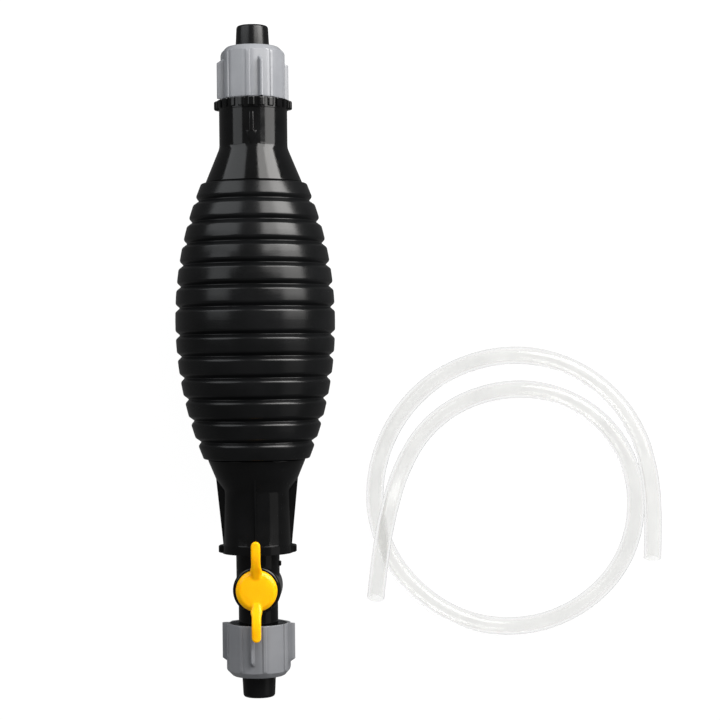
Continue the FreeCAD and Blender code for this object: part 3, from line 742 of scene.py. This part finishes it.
NUT_START = 147.4
NUT_END = 177.0
NUT_CORNER = 18.2
NUT_FLAT = 17.06
NUT_END_RADIUS = 14.45
NUT_RIDGE = 18.3
NUT_RIDGE_HALF = 1.25
NUT_RIDGE_SHOULDER = 0.7
NUT_SHOULDER_FLAT = 17.55
NUT_BORE = 16.0
NUT_HOLE = 9.85
NUT_SHOULDER = 174.05
NUT_RIB_RADIUS = 20.8
NUT_RIB_HALF = 1.7
NUT_RIB_FADE = (167.3, 169.9)
NUT_RIB_SHOULDER = 1.25
NUT_RIM = 1.0
NUT_BEVEL = 173.2
NUT_BEVEL_ROUNDING = 3.6
NUT_CLOCKING = {"inlet": math.radians(17.0), "outlet": math.radians(-8.6)}
SIDE = {"inlet": 1, "outlet": -1}


def nut_radius(angle):
    """An eight-sided outline with a narrow raised ridge along each blunted corner."""
    facet = PI / 4
    blend = 0.3
    from_flat = (angle + facet / 2) % facet - facet / 2
    from_corner = angle % facet - facet / 2
    flat = NUT_FLAT / math.cos(from_flat)
    shoulder = NUT_SHOULDER_FLAT / math.cos(from_corner)
    soft = max(0.0, 1.0 - abs(flat - shoulder) / blend)
    side = min(flat, shoulder) - soft * soft * blend / 4
    across = abs(math.sin(from_corner)) * NUT_RIDGE
    ridge = plateau(across, NUT_RIDGE_HALF, NUT_RIDGE_SHOULDER)
    return side + (NUT_RIDGE - side) * ridge


def nut_shape(clocking):
    """Shapes a round outline into the eight-sided nut with its four grip ribs."""
    def shape(radius, along, angle):
        if radius < NUT_BORE + 0.4:
            return radius
        turned = angle - clocking
        rounded_off = NUT_CORNER - radius if along < NUT_START + NUT_RIM else 0.0
        outer = min(radius, nut_radius(turned) - rounded_off)
        quarter = PI / 2
        offset = abs((turned + quarter / 2) % quarter - quarter / 2)
        across = math.sin(offset) * NUT_RIB_RADIUS
        rib = NUT_RIB_RADIUS * plateau(across, NUT_RIB_HALF, NUT_RIB_SHOULDER)
        if rib <= outer:
            return outer
        start, end = NUT_RIB_FADE
        fade = max(0.0, min(1.0, (end - along) / (end - start)))
        return max(outer, outer + (rib - rounded_off - outer) * fade)
    return shape


def make_nut(end, material):
    """A union nut, open towards the pump, with its far end drawn in around the hose sleeve."""
    clocking = NUT_CLOCKING[end]
    inside = NUT_START + 3.0
    # The points further inside only steer the rounding of the rim's two corners.
    near = rounded([
        (NUT_BORE, NUT_START, 0.3), (NUT_CORNER, NUT_START, 0.4),
        (NUT_CORNER, inside, 0.0), (NUT_BORE, inside, 0.0),
    ])[:-2]
    start, finish = NUT_RIB_FADE
    rows = [(NUT_CORNER, NUT_START + 1.2), (NUT_CORNER, start - 4.0), (NUT_CORNER, start - 0.4)]
    rows += [(NUT_CORNER, start + (finish - start) * i / 6) for i in range(7)]
    rows += [(NUT_CORNER, finish + 0.4)]
    far = rounded([
        (NUT_BORE, finish + 1.0, 0.0), (NUT_CORNER, finish + 1.0, 0.0),
        (NUT_CORNER, NUT_BEVEL, NUT_BEVEL_ROUNDING), (NUT_END_RADIUS, NUT_END, 2.6),
        (NUT_HOLE, NUT_END, 0.5), (NUT_HOLE, NUT_SHOULDER, 0.2), (NUT_BORE, NUT_SHOULDER, 0.5),
    ], 6)[1:]
    features = [(clocking + PI / 2 * i, NUT_RIB_HALF / NUT_RIB_RADIUS) for i in range(4)]
    features += [(clocking + PI / 8 + PI / 4 * i, NUT_RIDGE_HALF / NUT_RIDGE) for i in range(8)]
    outline = near + rows + far
    mesh = skin(f"{end}_union_nut", outline, refined(96, features), nut_shape(clocking), SIDE[end])
    nut = add_object(f"{end}_union_nut", mesh, material, 32)
    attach(nut, f"{end}_nut")
    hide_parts(f"{end}_nut")


def make_sleeve(end, material):
    """A tapered sleeve with a flange, bored for the hose and stopped inside."""
    tail, flange, flange_end = 153.0, 169.4, 172.4
    stop = TIP - 31.0
    bore, socket = HOSE_BORE / MM, HOSE_RADIUS / MM
    tail_radius, flange_radius = 8.0, 14.5
    root_radius, tip_radius = 9.5, 8.9
    outline = rounded([
        (bore, tail, 0.2), (tail_radius, tail, 0.6), (tail_radius, flange, 0.3),
        (flange_radius, flange, 0.3), (flange_radius, flange_end, 0.3),
        (root_radius, flange_end, 0.3), (root_radius, NUT_END, 3.0), (tip_radius, TIP, 1.9),
        (socket, TIP, 0.5), (socket, stop, 0.2), (bore, stop, 0.2),
    ])
    mesh = skin(f"{end}_hose_sleeve", outline, even_angles(72), None, SIDE[end])
    sleeve = add_object(f"{end}_hose_sleeve", mesh, material)
    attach(sleeve, "pump")
    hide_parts(f"{end}_sleeve")


# ---------------------------------------------------------------- stopcock

LEVER_DISC = 11.6
LEVER_LOW = 16.0
LEVER_HIGH = 19.8
LEVER_HALF = 27.9
BLADE_HALF = 2.65
BLADE_THICK = 3.3
BLADE_TIP_HEIGHT = 23.5
BLADE_SQUARENESS = 0.55
LEVER_VOXEL = 0.00035
LEVER_SMOOTHING = 14


def upright_skin(name, outline, count):
    """Turns an outline (radius, height over the pump's axis) about the stopcock's upright axis."""
    points = []
    for radius, height in outline:
        for angle in even_angles(count):
            x, y = radius * math.sin(angle), radius * math.cos(angle)
            points.append((x * MM, BARREL_Y + y * MM, AXIS + height * MM))
    return mesh_from(name, points, ring_faces(len(outline), count))


def blade_mesh(name, side):
    """One cranked blade with a round tip.

    Its cross-sections are (distance from the barrel's axis, height, share of the full width)."""
    sections = [
        (3.0, 17.6, 0.85), (6.0, 18.6, 0.9), (9.0, 19.8, 1.0), (11.0, 20.7, 1.24), (12.2, 21.3, 1.2),
        (13.4, 21.9, 1.06), (15.0, 22.5, 1.0), (17.4, 23.2, 1.0), (20.0, 23.6, 1.0), (23.0, 23.6, 1.0),
        (LEVER_HALF - BLADE_HALF, BLADE_TIP_HEIGHT, 1.0),
    ]
    tip_steps = 8
    for step in range(1, tip_steps + 1):
        angle = PI / 2 * step / tip_steps
        along = LEVER_HALF - BLADE_HALF + BLADE_HALF * math.sin(angle)
        sections.append((along, BLADE_TIP_HEIGHT, math.cos(angle)))
    columns = 28
    points = []
    for along, height, wide in sections:
        for angle in even_angles(columns):
            c, s = math.cos(angle), math.sin(angle)
            x = BLADE_HALF * wide * math.copysign(abs(c) ** BLADE_SQUARENESS, c)
            squeeze = 1.0 if wide > 0.5 else 0.55 + 0.9 * wide
            z = height + BLADE_THICK / 2 * squeeze * math.copysign(abs(s) ** BLADE_SQUARENESS, s)
            points.append((x * MM, BARREL_Y + side * along * MM, AXIS + z * MM))
    return mesh_from(name, points, capped_faces(len(sections), columns))


def join_solids(name, meshes, material):
    """One solid from several that overlap."""
    base = add_object(name, meshes[0], material)
    for mesh in meshes[1:]:
        tool = bpy.data.objects.new("tool", mesh)
        bpy.context.scene.collection.objects.link(tool)
        step = base.modifiers.new("join", "BOOLEAN")
        step.operation = "UNION"
        step.solver = "EXACT"
        step.object = tool
        graph = bpy.context.evaluated_depsgraph_get()
        joined = bpy.data.meshes.new_from_object(base.evaluated_get(graph))
        base.modifiers.clear()
        base.data = joined
        bpy.data.objects.remove(tool)
    mesh = base.data
    bpy.data.objects.remove(base)
    return mesh


def blend_surface(piece, voxel, repeats):
    """Melts joined shapes together, as in one moulding."""
    remesh = piece.modifiers.new("remesh", "REMESH")
    remesh.mode = "VOXEL"
    remesh.voxel_size = voxel
    remesh.use_smooth_shade = True
    smooth = piece.modifiers.new("smooth", "SMOOTH")
    smooth.factor = 0.5
    smooth.iterations = repeats
    graph = bpy.context.evaluated_depsgraph_get()
    material = piece.data.materials[0]
    mesh = bpy.data.meshes.new_from_object(piece.evaluated_get(graph))
    piece.modifiers.clear()
    piece.data = mesh
    mesh.materials.clear()
    mesh.materials.append(material)
    for polygon in mesh.polygons:
        polygon.use_smooth = True


def make_lever(material):
    """The stopcock's lever: a round disc with a blade each way, all one moulding."""
    disc = upright_skin("disc", rounded([
        (0, LEVER_LOW, 0.0), (LEVER_DISC, LEVER_LOW, 0.5), (LEVER_DISC, LEVER_HIGH - 1.5, 1.2),
        (LEVER_DISC - 2.2, LEVER_HIGH + 0.1, 2.0), (LEVER_DISC / 2, LEVER_HIGH + 0.5, 4.0),
        (0, LEVER_HIGH + 0.6, 0.0),
    ]), 96)
    mesh = join_solids("stopcock_lever", [disc, blade_mesh("front", 1), blade_mesh("back", -1)], material)
    lever = add_object("stopcock_lever", mesh, material, 180)
    blend_surface(lever, LEVER_VOXEL, LEVER_SMOOTHING)
    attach(lever, "stopcock_lever")
    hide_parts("lever")


# ---------------------------------------------------------------- valve springs

SPRING_WIRE = 0.8
SPRING_PITCH = 1.9


def make_spring(end, material):
    """A coil spring that pushes the valve's poppet shut. It is built at one length, though the real one
    shortens as the poppet opens.
    """
    low, high = (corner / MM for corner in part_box(f"{end}_spring"))
    radius = (high.x - low.x - SPRING_WIRE) / 2
    height = high.y - low.y - SPRING_WIRE
    turns = height / SPRING_PITCH
    turn_sides, wire_sides = 28, 12
    steps = int(turns * turn_sides)
    points = []
    for step in range(steps + 1):
        angle = 2 * PI * turns * step / steps
        along = low.y + SPRING_WIRE / 2 + height * step / steps
        for around in even_angles(wire_sides):
            out = radius + SPRING_WIRE / 2 * math.cos(around)
            rise = SPRING_WIRE / 2 * math.sin(around)
            x, z = out * math.sin(angle), out * math.cos(angle)
            points.append((x * MM, (along + rise) * MM, AXIS + z * MM))
    mesh = mesh_from(f"{end}_valve_spring", points, capped_faces(steps + 1, wire_sides))
    spring = add_object(f"{end}_valve_spring", mesh, material, 60)
    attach(spring, "pump")
    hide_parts(f"{end}_spring")
    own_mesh(spring)


# ---------------------------------------------------------------- CAD nodes that stay

KEPT = {
    "valve_body": "black_plastic",
    "valve_plug": "black_plastic",
    "plug_clip": "spring_steel",
    "plug_rings": "black_rubber",
    "spigot_ring": "black_rubber",
    "inlet_gasket": "black_rubber",
    "outlet_gasket": "black_rubber",
    "inlet_slip_ring": "white_plastic",
    "outlet_slip_ring": "white_plastic",
    "inlet_valve_seat": "white_plastic",
    "outlet_valve_seat": "white_plastic",
    "inlet_valve_cage": "white_plastic",
    "outlet_valve_cage": "white_plastic",
    "inlet_poppet": "white_plastic",
    "outlet_poppet": "white_plastic",
}


def finish_cad_nodes(materials):
    """Gives the CAD's own meshes their materials, where no finer piece replaces them."""
    for node, slot in KEPT.items():
        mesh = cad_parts[node].data
        mesh.materials.clear()
        mesh.materials.append(materials[slot])


# ---------------------------------------------------------------- floor and light

FLOOR_GREY = 0.06
FLOOR_GLOW = 0.97
WORLD_DIM = 0.11
WHITE = (1.0, 1.0, 1.0, 1.0)


def make_floor():
    """A paper floor that glows nearly white, so that it takes only faint shade."""
    mesh = bpy.data.meshes.new("floor")
    size = 4.0
    corners = [(-size, -size, 0), (size, -size, 0), (size, size, 0), (-size, size, 0)]
    mesh.from_pydata(corners, [], [(0, 1, 2, 3)])
    material = new_material("floor_paper", Roughness=0.9, Specular_IOR_Level=0.0)
    shader = material.node_tree.nodes["Principled BSDF"]
    shader.inputs["Base Color"].default_value = (FLOOR_GREY, FLOOR_GREY, FLOOR_GREY, 1.0)
    shader.inputs["Emission Color"].default_value = WHITE
    shader.inputs["Emission Strength"].default_value = FLOOR_GLOW
    mesh.materials.append(material)
    floor = bpy.data.objects.new("floor", mesh)
    bpy.context.scene.collection.objects.link(floor)
    floor.visible_glossy = False


BOX_DISTANCE = 0.95
NEAR_BOX_DISTANCE = 0.45
WARM = (1.0, 0.985, 0.965)
COOL = (0.95, 0.98, 1.0)

# Each light's long edges as angles from straight up, its start and end in Y, its radiance and
# colour, and its distance from the pump's axis.
SOFTBOXES = {
    "right_far_box": (17.0, 79.0, 0.42, 1.30, 7.5, WARM, BOX_DISTANCE),
    "right_long_box": (44.0, 79.0, 0.10, 1.30, 5.0, WARM, BOX_DISTANCE),
    "right_small_box": (27.0, 44.0, 0.285, 0.36, 5.5, WARM, BOX_DISTANCE),
    "right_low_box": (46.0, 79.0, -0.60, 0.10, 0.30, WARM, BOX_DISTANCE),
    "left_far_box": (-24.0, -85.0, 0.42, 1.30, 2.2, COOL, BOX_DISTANCE),
    "left_near_box": (-35.0, -68.0, 0.10, 0.42, 1.7, COOL, BOX_DISTANCE),
}
FILL_BOXES = {
    "fill_box": (-20.0, 45.0, -0.80, 0.30, 0.75, WARM, BOX_DISTANCE),
    "top_fill_box": (-20.0, 40.0, 0.15, 0.55, 2.0, WARM, NEAR_BOX_DISTANCE),
}


def add_softbox(name, inner, outer, start, end, radiance, colour, distance):
    """A rectangular light beside the pump's axis, facing it."""
    edges = []
    for angle in (inner, outer):
        turn = math.radians(angle)
        edges.append(Vector((distance * math.sin(turn), 0, AXIS + distance * math.cos(turn))))
    across = edges[1] - edges[0]
    data = bpy.data.lights.new(name, "AREA")
    data.shape = "RECTANGLE"
    data.size = across.length
    data.size_y = end - start
    data.energy = radiance * data.size * data.size_y * PI
    data.color = colour
    light = bpy.data.objects.new(name, data)
    middle = (edges[0] + edges[1]) / 2
    middle.y = (start + end) / 2
    away = Vector((middle.x, 0, middle.z - AXIS)).normalized()
    along = Vector((0, 1, 0))
    turn = Matrix((along.cross(away), along, away)).transposed()
    light.matrix_world = Matrix.Translation(middle) @ turn.to_4x4()
    light.visible_camera = False
    bpy.context.scene.collection.objects.link(light)
    return light


def make_lights():
    """Lights whose shapes the gloss mirrors, then lights that only fill."""
    for name, place in SOFTBOXES.items():
        add_softbox(name, *place)
    for name, place in FILL_BOXES.items():
        fill = add_softbox(name, *place)
        fill.visible_glossy = False


def make_world():
    """White where it is seen directly or through the hose, and dim where the pieces reflect it."""
    world = bpy.data.worlds.new("studio")
    world.use_nodes = True
    tree = world.node_tree
    dim = tree.nodes["Background"]
    dim.inputs["Color"].default_value = WHITE
    dim.inputs["Strength"].default_value = WORLD_DIM
    white = tree.nodes.new("ShaderNodeBackground")
    white.inputs["Color"].default_value = WHITE
    white.inputs["Strength"].default_value = 1.0
    path = tree.nodes.new("ShaderNodeLightPath")
    seen = tree.nodes.new("ShaderNodeMath")
    seen.operation = "MAXIMUM"
    tree.links.new(path.outputs["Is Camera Ray"], seen.inputs[0])
    tree.links.new(path.outputs["Transmission Depth"], seen.inputs[1])
    mix = tree.nodes.new("ShaderNodeMixShader")
    tree.links.new(seen.outputs[0], mix.inputs[0])
    tree.links.new(dim.outputs[0], mix.inputs[1])
    tree.links.new(white.outputs[0], mix.inputs[2])
    tree.links.new(mix.outputs[0], tree.nodes["World Output"].inputs["Surface"])
    bpy.context.scene.world = world
    bpy.context.scene.view_settings.view_transform = "Standard"


# ---------------------------------------------------------------- scene

make_camera()
materials = make_materials()
make_hose(materials["clear_hose"])
make_bulb(materials["bulb_rubber"])
make_inlet_neck(materials["black_plastic"])
make_flow_arrow(materials["black_plastic"])
make_outlet_neck(materials["black_plastic"])
for end_name in ("inlet", "outlet"):
    make_nut(end_name, materials["grey_plastic"])
    make_sleeve(end_name, materials["black_rubber"])
    make_spring(end_name, materials["spring_steel"])
make_lever(materials["yellow_plastic"])
finish_cad_nodes(materials)
make_floor()
make_lights()
make_world()
